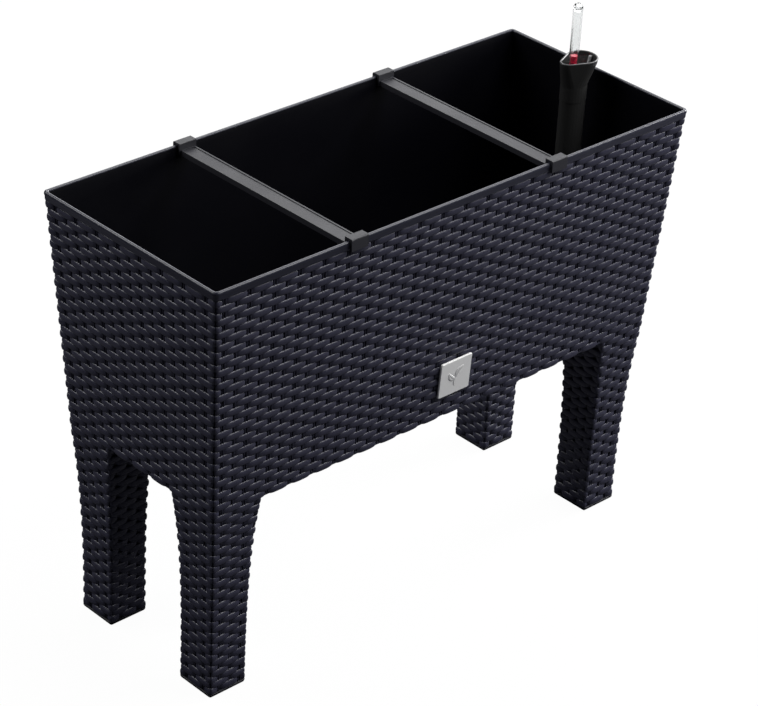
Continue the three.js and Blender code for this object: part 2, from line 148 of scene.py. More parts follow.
# %% Fine texture of a mould
mould_grain, grain_in, grain_out = new_group(
    "mould_grain",
    [("Grain Size", FLOAT, 900.0), ("Bump", FLOAT, 0.15), ("Low Roughness", FLOAT, 0.4),
     ("High Roughness", FLOAT, 0.55)],
    [("Normal", VECTOR), ("Roughness", FLOAT)])
links, nodes = mould_grain.links, mould_grain.nodes
place = nodes.new("ShaderNodeTexCoord")
fine = nodes.new("ShaderNodeTexNoise")
fine.inputs["Detail"].default_value = 3.0
broad = nodes.new("ShaderNodeTexNoise")
broad.inputs["Scale"].default_value = 14.0
broad.inputs["Detail"].default_value = 4.0
bump = nodes.new("ShaderNodeBump")
bump.inputs["Distance"].default_value = 0.0003
spread = nodes.new("ShaderNodeMapRange")
links.new(place.outputs["Object"], fine.inputs["Vector"])
links.new(place.outputs["Object"], broad.inputs["Vector"])
links.new(grain_in.outputs["Grain Size"], fine.inputs["Scale"])
links.new(fine.outputs["Fac"], bump.inputs["Height"])
links.new(grain_in.outputs["Bump"], bump.inputs["Strength"])
links.new(bump.outputs["Normal"], grain_out.inputs["Normal"])
links.new(broad.outputs["Fac"], spread.inputs["Value"])
spread.inputs["From Min"].default_value = 0.3
spread.inputs["From Max"].default_value = 0.7
links.new(grain_in.outputs["Low Roughness"], spread.inputs["To Min"])
links.new(grain_in.outputs["High Roughness"], spread.inputs["To Max"])
links.new(spread.outputs["Result"], grain_out.inputs["Roughness"])
print("group:", mould_grain.name)

# %% Painted shade in the slots
# Painted shade: the base colour moves from the crest colour towards a near-black slot colour as the
# stored depth grows, standing in for the shade in the slots. A faint noise varies the tone at random.
painted_slot_shade, shade_in, shade_out = new_group(
    "painted_slot_shade",
    [("Crest Colour", COLOUR, (0.05, 0.05, 0.06, 1)), ("Slot Shade Colour", COLOUR, (0.01, 0.01, 0.01, 1)),
     ("Tone Size", FLOAT, 9.0), ("Tone Change", FLOAT, 0.15)],
    [("Colour", COLOUR)])
links, nodes = painted_slot_shade.links, painted_slot_shade.nodes
depth = nodes.new("ShaderNodeAttribute")
depth.attribute_name = "painted_shade_depth"
blend = nodes.new("ShaderNodeMix")
blend.data_type = "RGBA"
place = nodes.new("ShaderNodeTexCoord")
tone = nodes.new("ShaderNodeTexNoise")
tone.inputs["Detail"].default_value = 2.0
tone_range = nodes.new("ShaderNodeMath")
tone_range.operation = "MULTIPLY_ADD"
darken = nodes.new("ShaderNodeMath")
darken.operation = "ADD"
darken.use_clamp = True
links.new(place.outputs["Object"], tone.inputs["Vector"])
links.new(shade_in.outputs["Tone Size"], tone.inputs["Scale"])
links.new(tone.outputs["Fac"], tone_range.inputs[0])
links.new(shade_in.outputs["Tone Change"], tone_range.inputs[1])
tone_range.inputs[2].default_value = -0.05
links.new(depth.outputs["Fac"], darken.inputs[0])
links.new(tone_range.outputs["Value"], darken.inputs[1])
links.new(darken.outputs["Value"], blend.inputs["Factor"])
links.new(shade_in.outputs["Crest Colour"], blend.inputs[6])
links.new(shade_in.outputs["Slot Shade Colour"], blend.inputs[7])
links.new(blend.outputs[2], shade_out.inputs["Colour"])
print("group:", painted_slot_shade.name)

# %% [markdown]
# ## Finishes
# The trough is anthracite polypropylene with a faint blue cast. The bars are the same plastic
# in a smoother, greyer moulding, and the tube is glossier black. One small function builds
# each plastic from the grain group, so that the finishes differ only in their numbers.

# %% Plastics
def plastic(name, colour, low, high, grain_size, bump_strength, specular=0.5):
    """A moulded plastic: one colour, a roughness that wanders a little, and a fine bump."""
    material = bpy.data.materials.new(name)
    material.use_nodes = True
    tree = material.node_tree
    shader = tree.nodes["Principled BSDF"]
    shader.inputs["Base Color"].default_value = (*colour, 1)
    shader.inputs["Specular IOR Level"].default_value = specular
    grain = tree.nodes.new("ShaderNodeGroup")
    grain.node_tree = mould_grain
    grain.inputs["Grain Size"].default_value = grain_size
    grain.inputs["Bump"].default_value = bump_strength
    grain.inputs["Low Roughness"].default_value = low
    grain.inputs["High Roughness"].default_value = high
    tree.links.new(grain.outputs["Normal"], shader.inputs["Normal"])
    tree.links.new(grain.outputs["Roughness"], shader.inputs["Roughness"])
    return material


def woven(name, crest, slot):
    """The same plastic with painted shade in its slots, set by the depth stored on the points."""
    material = plastic(name, crest, 0.32, 0.42, 700, 0.10)
    tree = material.node_tree
    shade = tree.nodes.new("ShaderNodeGroup")
    shade.node_tree = painted_slot_shade
    shade.inputs["Crest Colour"].default_value = (*crest, 1)
    shade.inputs["Slot Shade Colour"].default_value = (*slot, 1)
    shader = tree.nodes["Principled BSDF"]
    tree.links.new(shade.outputs["Colour"], shader.inputs["Base Color"])
    return material


# Painted shade: the second colour is the near black painted into the slots of the weave.
weave_finish = woven("anthracite_weave", (0.034, 0.034, 0.058), (0.001, 0.001, 0.003))
wall_finish = plastic("anthracite_smooth", (0.022, 0.023, 0.038), 0.28, 0.36, 500, 0.10)
foot_finish = plastic("anthracite_foot", (0.007, 0.007, 0.013), 0.50, 0.60, 400, 0.10, 0.3)
# Painted shade: the inside of the trough is the same plastic as the outside, painted near black for the
# shade inside the box, with its reflection turned down.
shaded_inner_finish = plastic("anthracite_inside_painted_shade", (0.0010, 0.0010, 0.0026), 0.5, 0.6, 300, 0.10, 0.08)
bar_finish = plastic("grey_bar_plastic", (0.018, 0.018, 0.024), 0.50, 0.60, 600, 0.08)
tube_finish = plastic("black_tube_plastic", (0.026, 0.026, 0.026), 0.28, 0.36, 400, 0.06)
part_finish = plastic("black_part_plastic", (0.010, 0.010, 0.011), 0.40, 0.50, 400, 0.08)
red_finish = plastic("red_marker_plastic", (0.85, 0.010, 0.060), 0.25, 0.35, 300, 0.03)
float_finish = plastic("pale_float_plastic", (0.62, 0.62, 0.58), 0.55, 0.65, 250, 0.10)
seal_finish = plastic("black_seal_rubber", (0.010, 0.010, 0.011), 0.75, 0.85, 500, 0.12)
print("plastics:", len(bpy.data.materials))

# %% [markdown]
# The clear tube is a thin acrylic wall, whose transmission is set on the shader itself. The
# badge is a pale satin plate with only a little of a metal's reflection, so that it stays
# bright from every side.

# %% Clear plastic and metal
clear_finish = bpy.data.materials.new("clear_tube_plastic")
clear_finish.use_nodes = True
clear = clear_finish.node_tree.nodes["Principled BSDF"]
clear.inputs["Base Color"].default_value = (0.92, 0.93, 0.93, 1)
clear.inputs["Roughness"].default_value = 0.08
clear.inputs["IOR"].default_value = 1.45
clear.inputs["Transmission Weight"].default_value = 1.0

metal_finish = plastic("satin_badge_metal", (0.92, 0.92, 0.91), 0.40, 0.50, 1500, 0.05)
metal = metal_finish.node_tree.nodes["Principled BSDF"]
metal.inputs["Metallic"].default_value = 0.1
print("finishes:", [m.name for m in bpy.data.materials])

# %% [markdown]
# ## How the weave runs
# The moulding copies a plain weave. Flat strips go round the planter in rows, and thin
# upright stakes stand in columns. A strip passes over one column and under the next, and the
# rows take turns. There are 42 columns on a long side and 16 on an end, counted between
# corners, so the pattern closes on itself. Stakes are double in every second column.

# %% Weave counts and the depth law
LONG_COLUMNS, SHORT_COLUMNS = 42, 16
RING_COLUMNS = 2 * (LONG_COLUMNS + SHORT_COLUMNS)
HALF_RING = RING_COLUMNS // 2
CORNER_COLUMNS = [0, 42, 58, 100]     # the trough's four corners, from the front left
BODY_ROWS, BODY_TOP = 35, 445.0
BODY_PITCH = (BODY_TOP - BELLY_Z) / BODY_ROWS
LEG_ROWS, LEG_PITCH = 32, 6.42
SWELL = 2.0              # rise and fall of a strip between two crossings
DIVE = 0.9               # extra depth where it goes under the stakes
EDGE_DROP = 2.0          # how far a strip's edges curl back, as part of an ellipse
FULL_HEIGHT = 1.05       # height of a strip on top, as a share of a row, so that rows overlap
PINCH, PINCH_REACH = 0.28, 0.28       # how much lower it is where it goes under, and how far
CURL_UNDER, CURL_REACH = 0.60, 0.5    # share of the curl left under the stakes, and how far
# Painted shade: the slots' painted shade begins at this depth and deepens over this range.
SLOT_START, SLOT_RANGE = 2.1, 1.1     # depth at which the slots begin to darken, and over what


def strip_depth(column, row):
    """Depth of a strip's face behind the crest: a cube of the distance from the crest, and a
    flat-bottomed dip at the crossing, wider where the stakes are double. Also gives the
    distance from the crossing, in columns."""
    under = np.abs((column + row) % 2 - 1)
    width = 0.20 if row % 2 == 0 else 0.135
    dip = np.exp(-(under / width) ** 4)
    return -SWELL * (1 - under) ** 3 - DIVE * dip, under


# Profile of a strip from its lower to its upper edge: share of its half height, and depth
# behind its face. It is part of an ellipse, and the lower half curls back less than half as far.
FACE_T = np.array([-1.0, -0.94, -0.78, -0.48, -0.08, 0.30, 0.58, 0.78, 0.92, 1.0])
FACE_D = -EDGE_DROP * (1 - np.sqrt(1 - 0.96 * FACE_T ** 2)) * np.where(FACE_T < 0, 0.45, 1.0)
print("rows:", BODY_ROWS, "pitch:", round(BODY_PITCH, 3), "columns:", RING_COLUMNS)

# %% [markdown]
# A strip is a closed band: a lens-shaped profile carried round the trough. On a straight side
# the profile moves along the wall line, and at a corner it turns on a small arc. A narrow
# groove runs down each corner, where the two halves of the mould met.

# %% Round the trough
CORNER = 4.5
EDGE_SHARE = 11.1 / 600  # the first column of a long side stands this near the corner


def along_side(share, half_along, half_out, radius):
    """Point on one side of a rounded rectangle: straight until the corner zone, then an arc
    of an eighth of a turn. Gives (along, out) and the outward direction."""
    flat = half_along - radius
    x = share * half_along
    turn = np.clip((np.abs(x) - flat) / radius, 0, 1) * np.pi / 4
    sign = np.sign(x)
    along = sign * (np.minimum(np.abs(x), flat) + radius * np.sin(turn))
    out = half_out - radius + radius * np.cos(turn)
    return along, out, sign * np.sin(turn), np.cos(turn)


def round_trough(column, z, offset):
    """Points at a column, a height and an offset outside the wall line. Columns 0, 42, 58
    and 100 are the corners, starting at the front left."""
    half_a, half_b = HALF_LENGTH - inset(z), HALF_WIDTH - inset(z)
    column = np.broadcast_to(column, z.shape) % RING_COLUMNS
    edges = np.array([*CORNER_COLUMNS, RING_COLUMNS])
    side = np.clip(np.searchsorted(edges, column, side="right") - 1, 0, 3)
    local = column - edges[side]
    long_share = np.interp(local, [0, 1, 41, 42], [0, EDGE_SHARE, 1 - EDGE_SHARE, 1])
    is_long = side % 2 == 0
    share = 2 * np.where(is_long, long_share, local / SHORT_COLUMNS) - 1
    along, out, n_along, n_out = along_side(
        share, np.where(is_long, half_a, half_b), np.where(is_long, half_b, half_a), CORNER)
    along, out = along + n_along * offset, out + n_out * offset
    x = np.choose(side, [along, out, -along, -out])
    y = np.choose(side, [-out, along, out, -along])
    return np.stack([x, y, z], -1)


# Eight samples in each column, closer together by the crossing, and five at each corner.
steps = np.array([-0.40, -0.25, -0.17, -0.09, 0.09, 0.17, 0.25, 0.40])
ring = (np.arange(RING_COLUMNS)[:, None] + steps).ravel() % RING_COLUMNS
corner_steps = np.array([-0.05, -0.02, 0.0, 0.02, 0.05])
extra = (np.array(CORNER_COLUMNS)[:, None] + corner_steps).ravel() % RING_COLUMNS
ring = np.unique(np.concatenate([ring, extra]).round(6))
print("samples round the trough:", len(ring))


# %% A band of strips
def corner_gap(column):
    """Distance to the nearest corner, in columns, the short way round."""
    gaps = [np.abs((column - c + HALF_RING) % RING_COLUMNS - HALF_RING) for c in CORNER_COLUMNS]
    return np.min(gaps, axis=0)


def corner_groove(column, width=0.03, depth=0.9):
    """A narrow notch at each corner column: a bell curve of the distance to it."""
    return -depth * np.exp(-(corner_gap(column) / width) ** 2)


def slot_share(offset):
    """How far a point lies in a slot, from 0 to 1: a straight ramp of its depth, which sets the painted
    shade of the slots.
    """
    return np.clip((-offset - SLOT_START) / SLOT_RANGE, 0, 1)


def strip_points(column, row, centre_z, place, groove):
    """Closed strip profiles at many columns of one row. The face follows strip_depth, its
    edges curl back, and two more points close it at the depth of the backing. Where the strip
    goes under, its height is pinched by a bell curve and its curl weakens in a straight line."""
    depth, under = strip_depth(column, row)
    half = BODY_PITCH / 2 * (FULL_HEIGHT - PINCH * np.exp(-(under / PINCH_REACH) ** 2))
    curl = CURL_UNDER + (1 - CURL_UNDER) * np.minimum(under / CURL_REACH, 1)
    z = centre_z + np.concatenate([half[:, None] * FACE_T, half[:, None] * [0.9, -0.9]], 1)
    face = (depth + groove)[:, None] + curl[:, None] * FACE_D
    face = np.maximum(face, -BACKING + 0.05)
    back = np.full((len(column), 2), -BACKING)
    offset = np.concatenate([face, back], 1)
    return place(np.broadcast_to(column[:, None], z.shape), z, offset), offset


def woven_piece(name, points, quads, depths):
    """One piece from the points, quads and slot depths of its strips."""
    piece = new_piece(name, np.concatenate(points), np.concatenate(quads), weave_finish, "planter")
    # Painted shade: these depths set how far the material darkens the slots.
    add_value(piece, "painted_shade_depth", np.concatenate(depths))
    print(name, "triangles:", triangles(piece))
    return piece


def body_band(name, rows):
    """A piece with several strips that go all the way round the trough."""
    count = len(FACE_T) + 2
    points, quads, depths = [], [], []
    for order, row in enumerate(rows):
        centre = BODY_TOP - BODY_PITCH * (row + 0.5)
        groove = corner_groove(ring)
        place, offset = strip_points(ring, row, centre, round_trough, groove)
        points.append(place.reshape(-1, 3))
        depths.append(slot_share(offset).ravel())
        start = order * len(ring) * count
        quads.append(grid_quads(len(ring), count, True, True, start, True))
    return woven_piece(name, points, quads, depths)


for order, place in enumerate(["top", "upper", "middle", "lower", "bottom"]):
    body_band("weave_" + place, range(7 * order, 7 * order + 7))

# %% [markdown]
# The lower edge of the trough is a plain rounded strip between the legs, which closes the
# weave from below. Each of the four is a flat oval section carried straight along the wall.

# %% Belly edge
def belly_edge(name, half_along, half_out, turn):
    """A closed bar of oval section, 1.1 by 1.7 mm in half axes, laid along one wall and turned
    by quarter turns about the vertical axis."""
    sides, steps = 12, 9
    angle = np.linspace(0, 2 * np.pi, sides, endpoint=False)
    out = half_out - float(inset(BELLY_Z)) - 2.3 + 1.1 * np.cos(angle)
    up = BELLY_Z + 1.8 + 1.7 * np.sin(angle)
    along = np.linspace(-half_along, half_along, steps)[:, None] + 0 * angle
    x, y = along, -out + 0 * along
    for _ in range(turn):
        x, y = -y, x
    points = np.stack([x, y, up + 0 * along], -1).reshape(-1, 3)
    caps = [np.arange(sides), (steps - 1) * sides + np.arange(sides)[::-1]]
    quads = grid_quads(steps, sides, False, True, 0, True)
    edge = new_piece(name, points, quads, wall_finish, "planter", caps=caps)
    return edge


belly_edge("belly_edge_front", 226.0, HALF_WIDTH, 0)
belly_edge("belly_edge_right", 46.0, HALF_LENGTH, 1)
belly_edge("belly_edge_back", 226.0, HALF_WIDTH, 2)
belly_edge("belly_edge_left", 46.0, HALF_LENGTH, 3)
print("belly edges: 4")

# %% [markdown]
# ## The legs
# Each leg is a square post whose two outer faces carry on the trough's walls. The strips go
# round it as closed bands, with the same columns as the wall above on the outer faces. The
# inner faces flare out where the leg meets the belly. One leg is worked out for one corner,
# and the other three are mirror images.

# %% Leg sections
LEG_INNER_X, LEG_INNER_Y, LEG_FLARE = 231.5, 51.5, 6.5
LEG_CORNER = 3.2
FIRST_COLUMN, COLUMN_PITCH = 11.1, 14.445   # along the rim of a long side, in millimetres


def leg_size(z):
    """Widths of a leg along X and Y: from the wall line to the inner faces, whose flare is a
    fourth power of the height."""
    flare = LEG_FLARE * (np.clip(z, 0, BELLY_Z) / BELLY_Z) ** 4
    return (HALF_LENGTH - inset(z) - LEG_INNER_X + flare,
            HALF_WIDTH - inset(z) - LEG_INNER_Y + flare)


def leg_phases(z):
    """Column numbers at the four edges of a leg: 0 at the outer corner, the trough's own
    columns on the outer faces, and 8 at the innermost edge."""
    wide_x, wide_y = leg_size(z)
    rim_x = wide_x * HALF_LENGTH / (HALF_LENGTH - inset(z))
    first = 1 + (rim_x - FIRST_COLUMN) / COLUMN_PITCH
    last = 16 - wide_y / (2 * (HALF_WIDTH - inset(z))) * SHORT_COLUMNS
    return first, last


def round_leg(turn, z, offset):
    """Points round a leg in its own corner frame: turn 0 to 4 passes the outer long face, the
    inner end face, the inner long face and the outer end face. Gives the distances from the
    outer corner."""
    wide_x, wide_y = leg_size(z)
    turn = np.broadcast_to(turn, z.shape)
    side = np.floor(turn).astype(int) % 4
    share = 2 * (turn - np.floor(turn)) - 1
    odd = side % 2 == 1
    along, out, n_along, n_out = along_side(
        share, np.where(odd, wide_y, wide_x) / 2, np.where(odd, wide_x, wide_y) / 2, LEG_CORNER)
    along, out = along + n_along * offset, out + n_out * offset
    u = np.choose(side, [along, out, -along, -out]) + wide_x / 2
    v = np.choose(side, [-out, along, out, -along]) + wide_y / 2
    return u, v


def leg_to_world(u, v, z, sign_x, sign_y):
    """Distances from the outer corner turned into a place under one corner."""
    x = sign_x * (HALF_LENGTH - inset(z) - u)
    y = sign_y * (HALF_WIDTH - inset(z) - v)
    return np.stack([x, y, z], -1)


# %% Bands round the legs
FACE_STEPS = 36
face_turns = (np.arange(FACE_STEPS) + 0.5) / FACE_STEPS
near_edge = np.array([0.0, 0.008])
face_turns = np.sort(np.concatenate([face_turns, near_edge, 1 - near_edge[1:]]))
leg_turns = (np.arange(4)[:, None] + face_turns).ravel()


def leg_columns(turns, z):
    """Column number of each place round a leg, straight lines between the edges' numbers."""
    first, last = leg_phases(z)
    return np.interp(turns, [0, 1, 2, 3, 4], [0, float(first), 8, float(last), 16])


def leg_band(name, sign_x, sign_y):
    """All the strips of one leg, from the belly to just above the foot."""
    count = len(FACE_T) + 2
    points, quads, depths = [], [], []
    notch = -1.0 * np.exp(-(np.minimum(leg_turns, 4 - leg_turns) / 0.012) ** 2)
    turn_of = np.broadcast_to(leg_turns[:, None], (len(leg_turns), count))

    def on_leg(_, z, offset):
        """Place of the strip's points on this leg, whose turns are the same for every row."""
        return leg_to_world(*round_leg(turn_of, z, offset), z, sign_x, sign_y)

    for order in range(LEG_ROWS):
        row = BODY_ROWS + order
        centre = BELLY_Z - LEG_PITCH * (order + 0.5)
        column = leg_columns(leg_turns, centre)
        band, offset = strip_points(column, row, centre, on_leg, notch)
        points.append(band.reshape(-1, 3))
        depths.append(slot_share(offset).ravel())
        start = order * len(leg_turns) * count
        quads.append(grid_quads(len(leg_turns), count, True, True, start, sign_x * sign_y > 0))
    return woven_piece(name, points, quads, depths)


CORNERS = {"front_left": (-1, -1), "front_right": (1, -1),
           "back_right": (1, 1), "back_left": (-1, 1)}
for corner, (sign_x, sign_y) in CORNERS.items():
    leg_band("leg_weave_" + corner, sign_x, sign_y)

# %% [markdown]
# ## Stakes
# The upright stakes are thin rods that show only in the slots, where a strip dives behind
# them. Each is a six-sided prism that leans with the wall. On a leg it carries on to the foot
# and sweeps with the wall line.

# %% Upright stakes
STAKE_R, STAKE_DEPTH, STAKE_GAP = 0.70, 1.55, 1.55
STAKE_COLUMN = 14.45     # width of a column at the stakes, in millimetres
# Painted shade: the stakes take a small fixed share of the slots' painted shade, which makes them a
# little darker than the crests.
STAKE_SHADE = 0.12       # the stakes are a little darker than the crests
LEG_REACH = 3.3          # stakes this near a corner, in columns, go on down the leg
stake_angles = np.arange(6) * np.pi / 3 + np.pi / 6


def stake_columns():
    """Column numbers of all stakes, single in even columns and double in odd ones."""
    whole = np.arange(RING_COLUMNS)
    inner = ~np.isin(whole, CORNER_COLUMNS)
    single = whole[inner & (whole % 2 == 0)].astype(float)
    double = whole[inner & (whole % 2 == 1)].astype(float)
    shift = STAKE_GAP / STAKE_COLUMN
    return np.concatenate([single, double - shift, double + shift])


def stakes(name, columns, low, top, levels):
    """Prisms at the given columns: the section is a hexagon laid across the wall, and the
    levels share out the height between low and top."""
    z = low + (top - low) * np.linspace(0, 1, levels)
    sideways = STAKE_R * np.cos(stake_angles) / STAKE_COLUMN
    outward = STAKE_R * np.sin(stake_angles) - STAKE_DEPTH
    shape = (len(columns), levels, 6)
    column = np.broadcast_to(columns[:, None, None] + sideways, shape)
    height = np.broadcast_to(z[None, :, None], shape)
    points = round_trough(column, height, np.broadcast_to(outward, shape)).reshape(-1, 3)
    one = grid_quads(levels, 6, False, True, 0, True)
    quads = (one[None] + (np.arange(len(columns)) * levels * 6)[:, None, None]).reshape(-1, 4)
    starts = np.arange(len(columns)) * levels * 6
    caps = [s + np.arange(6) for s in starts]
    caps += [s + (levels - 1) * 6 + np.arange(6)[::-1] for s in starts]
    piece = new_piece(name, points, quads, weave_finish, "planter", smooth=False, caps=caps)
    # Painted shade: every point of a stake gets the same small share of the slots' painted shade.
    add_value(piece, "painted_shade_depth", np.full(len(points), STAKE_SHADE))
    print(name, "stakes:", len(columns), "triangles:", triangles(piece))
    return piece


all_columns = stake_columns()
near_corner = corner_gap(all_columns) <= LEG_REACH
stakes("stakes_walls", all_columns[~near_corner], BELLY_Z + 3.0, BODY_TOP + 1, 3)
stakes("stakes_corners", all_columns[near_corner], 5.0, BODY_TOP + 1, 24)

# %% [markdown]
# ## The trough behind the weave
# Behind the strips stands the real wall: a smooth box, open at the top, with a bead round its
# rim. It is one closed skin. The outer side starts behind the weave, climbs over the rim
# bead, and goes down inside to the floor. The profile is carried round the rounded rectangle.

# %% Rim, inner wall and floor
def loop_at(z, offset, radius):
    """One closed loop round the trough, rounded at the corners, counter-clockwise from above."""
    half_a, half_b = HALF_LENGTH + offset, HALF_WIDTH + offset
    steps = 5
    turn = (np.arange(4)[:, None] + np.linspace(0, 1, steps + 1)).ravel() * np.pi / 2
    quarter = np.repeat(np.arange(4), steps + 1)
    sign_x = np.array([1, -1, -1, 1])[quarter]
    sign_y = np.array([1, 1, -1, -1])[quarter]
    x = sign_x * (half_a - radius) + radius * np.cos(turn)
    y = sign_y * (half_b - radius) + radius * np.sin(turn)
    return np.stack([x, y, np.full_like(x, z)], -1)


def wall_loop(z, depth, radius=4.0):
    """A loop at a depth behind the wall line at height z."""
    return loop_at(z, -float(inset(z)) - depth, radius)


FIRST_INNER_RING = 13    # from this step of the profile on, the wall faces inwards
rim_profile = [
    (BELLY_Z + 1.0, "wall", 3.3, 3.0), (444.2, "wall", 3.3, 3.0), (444.6, "rim", 1.7, 4.0),
    (445.4, "rim", 0.75, 4.4), (446.6, "rim", 0.5, 4.5), (449.4, "rim", 0.45, 4.5),
    (450.2, "rim", 0.15, 4.8), (451.2, "rim", -0.15, 5.0), (452.6, "rim", -0.05, 5.0),
    (453.5, "rim", 0.45, 4.6), (454.0, "rim", 1.3, 4.0), (454.0, "rim", 2.5, 3.2),
    (453.5, "rim", 3.2, 2.8), (452.4, "rim", 3.55, 2.6), (446.5, "wall", INNER_DEPTH, 2.4),
    (430.0, "wall", INNER_DEPTH, 2.4), (300.0, "wall", INNER_DEPTH, 2.4),
    (213.0, "wall", INNER_DEPTH, 2.4),
]
loops = [wall_loop(z, d, r) if kind == "wall" else loop_at(z, -d, r)
         for z, kind, d, r in rim_profile]
per_loop = len(loops[0])
wall_points = np.concatenate(loops)
wall_quads = grid_quads(len(loops), per_loop, False, True)
last = (len(loops) - 1) * per_loop
caps = [np.arange(per_loop)[::-1], last + np.arange(per_loop)]
trough = new_piece("trough_wall", wall_points, wall_quads, wall_finish, "planter", caps=caps)
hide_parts("planter_shell")
# Painted shade: the inner faces take the near-black inside finish.
trough.data.materials.append(shaded_inner_finish)
inside = np.zeros(len(trough.data.polygons), np.int32)
inside[FIRST_INNER_RING * per_loop:] = 1
trough.data.polygons.foreach_set("material_index", inside)
trough.data.set_sharp_from_angle(angle=math.radians(50))
print("trough_wall triangles:", triangles(trough))

# %% [markdown]
# The posts inside the leg weave and the small plain feet close the legs. Each is one square
# section that follows the leg's own law, with a rounded bottom edge.

# %% Leg cores and feet
def leg_core(name, sign_x, sign_y):
    """A closed post: its section shrinks behind the strips, and swells to the full outline in
    the last millimetres above the ground, with a rounded bottom edge."""
    levels = [(0.0, -3.4), (0.5, -2.0), (1.4, -1.0), (2.8, -0.35), (4.0, -0.30), (4.5, -1.2),
              (4.8, -3.0)]
    levels += [(z, -3.0) for z in np.linspace(12, BELLY_Z + 1, 24)]
    turns = (np.arange(4)[:, None] + np.array([0, 0.03, 0.06, 0.5, 0.94, 0.97])).ravel()
    z = np.array([l[0] for l in levels])[:, None] + 0 * turns
    offset = np.array([l[1] for l in levels])[:, None] + 0 * turns
    u, v = round_leg(np.broadcast_to(turns, z.shape), z, offset)
    points = leg_to_world(u, v, z, sign_x, sign_y).reshape(-1, 3)
    count = len(turns)
    flip = sign_x * sign_y < 0
    quads = grid_quads(len(levels), count, False, True, 0, flip)
    bottom, top = np.arange(count)[::-1], (len(levels) - 1) * count + np.arange(count)
    caps = [bottom[::-1], top[::-1]] if flip else [bottom, top]
    core = new_piece(name, points, quads, foot_finish, "planter", caps=caps)
    core.data.set_sharp_from_angle(angle=math.radians(50))
    return core


for corner, (sign_x, sign_y) in CORNERS.items():
    leg_core("leg_core_" + corner, sign_x, sign_y)

# %% [markdown]
# ## The parts that stay as engineered
# The bars, tubes, cups and plug have simple shapes, so the frame's own pieces are shown. A
# small bevel rounds the edges of the bars, the plug and the badge, as any moulded edge is, and
# catches the light.

# %% Finish the frame's pieces
FINISHES = {
    "badge_plate": metal_finish, "crossbar_left": bar_finish, "crossbar_right": bar_finish,
    "separator_plate": part_finish, "wick_cup_left": part_finish, "wick_cup_middle": part_finish,
    "wick_cup_right": part_finish, "drain_plug": part_finish, "drain_seal": seal_finish,
    "fill_tube": tube_finish, "fill_funnel": tube_finish, "sight_tube": clear_finish,
    "sight_cap": clear_finish, "float_body": float_finish, "float_rod": float_finish,
    "float_marker": red_finish, "planter_shell": wall_finish,
}
BEVELS = {"crossbar_left": 0.6, "crossbar_right": 0.6, "drain_plug": 0.5, "badge_plate": 0.25}
for name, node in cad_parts.items():
    node.data.materials.clear()
    node.data.materials.append(FINISHES[name])
    node.data.polygons.foreach_set("use_smooth", np.ones(len(node.data.polygons), bool))
    node.data.set_sharp_from_angle(angle=math.radians(35))
    if name in BEVELS:
        edge = node.modifiers.new("rounded_edges", "BEVEL")
        edge.width = BEVELS[name] * 0.001
        edge.segments = 2
        edge.limit_method = "ANGLE"
        edge.angle_limit = math.radians(40)
        edge.harden_normals = True
print("frame pieces finished:", len(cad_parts))

# %% [markdown]
# ## Badge emblem
# The plate on the front carries a small raised sign. A plain seedling with two leaves suits a
# planter: each leaf is a lens-shaped surface, and the stem is a thin tapered ridge.

# %% Raised seedling
BADGE_X, BADGE_Z = 9.5, 254.5
badge_tilt = math.atan(TAPER)
BADGE_STANDOFF = 2.6     # the plate's face stands this far in front of the wall line
badge_face = HALF_WIDTH - float(inset(BADGE_Z)) + BADGE_STANDOFF


def on_badge(across, up, lift):
    """A point given on the plate's face turned into its place on the leaning wall."""
    y = -badge_face - lift * math.cos(badge_tilt) - up * math.sin(badge_tilt)
    z = BADGE_Z + up * math.cos(badge_tilt) - lift * math.sin(badge_tilt)
    return np.stack([BADGE_X + across, y + 0 * across, z + 0 * across], -1)


def leaf_points(root, tip, width, height, rows=14, columns=9):
    """A closed leaf: its half width is a sine of the way along it, bent sideways by another.
    Its rounded top falls to the plate at the edges, and a bell curve sinks the vein along its
    middle. The first columns are the top and the last two run back along the plate."""
    t = np.linspace(0.0, 1.0, rows)[:, None]
    s = np.linspace(-1, 1, columns)[None]
    axis = np.array(tip, float) - np.array(root, float)
    side = np.array([-axis[1], axis[0]]) / np.hypot(*axis)
    half = np.maximum(width * np.sin(np.pi * t ** 0.8) ** 0.8, 0.02)
    bend = 0.12 * np.hypot(*axis) * np.sin(np.pi * t)
    across = root[0] + t * axis[0] + (bend + s * half) * side[0]
    up = root[1] + t * axis[1] + (bend + s * half) * side[1]
    vein = 0.25 * np.exp(-(s / 0.09) ** 2)
    lift = height * (1 - s ** 2) ** 0.5 * np.sin(np.pi * t) ** 0.5 + 0.02 - vein
    top = np.stack([across, up, np.maximum(lift, 0.02)], -1)
    under = top[:, [-1, 0]].copy()
    under[..., 2] = -0.15
    return np.concatenate([top, under], 1)


def leaf_piece(name, shapes):
    """One piece made of several closed leaves."""
    points, quads, caps, start = [], [], [], 0
    for shape in shapes:
        rows, columns = shape.shape[:2]
        points.append(on_badge(shape[..., 0], shape[..., 1], shape[..., 2]).reshape(-1, 3))
        quads.append(grid_quads(rows, columns, False, True, start, True))
        caps.append(start + np.arange(columns))
        caps.append(start + (rows - 1) * columns + np.arange(columns)[::-1])
        start += rows * columns
    piece = new_piece(name, np.concatenate(points), np.concatenate(quads), emblem_finish,
                      "planter", caps=caps)
    return piece


emblem_finish = plastic("satin_emblem_metal", (0.88, 0.88, 0.87), 0.40, 0.50, 1500, 0.05)
emblem_finish.node_tree.nodes["Principled BSDF"].inputs["Metallic"].default_value = 0.35
seedling = leaf_piece("badge_seedling", [
    leaf_points((0.0, -11.5), (0.3, 1.0), 0.8, 0.35),
    leaf_points((0.0, -1.5), (9.5, 9.5), 3.3, 0.4),
    leaf_points((0.0, -4.0), (-9.5, 6.0), 3.0, 0.4),
])
print("badge_seedling triangles:", triangles(seedling))

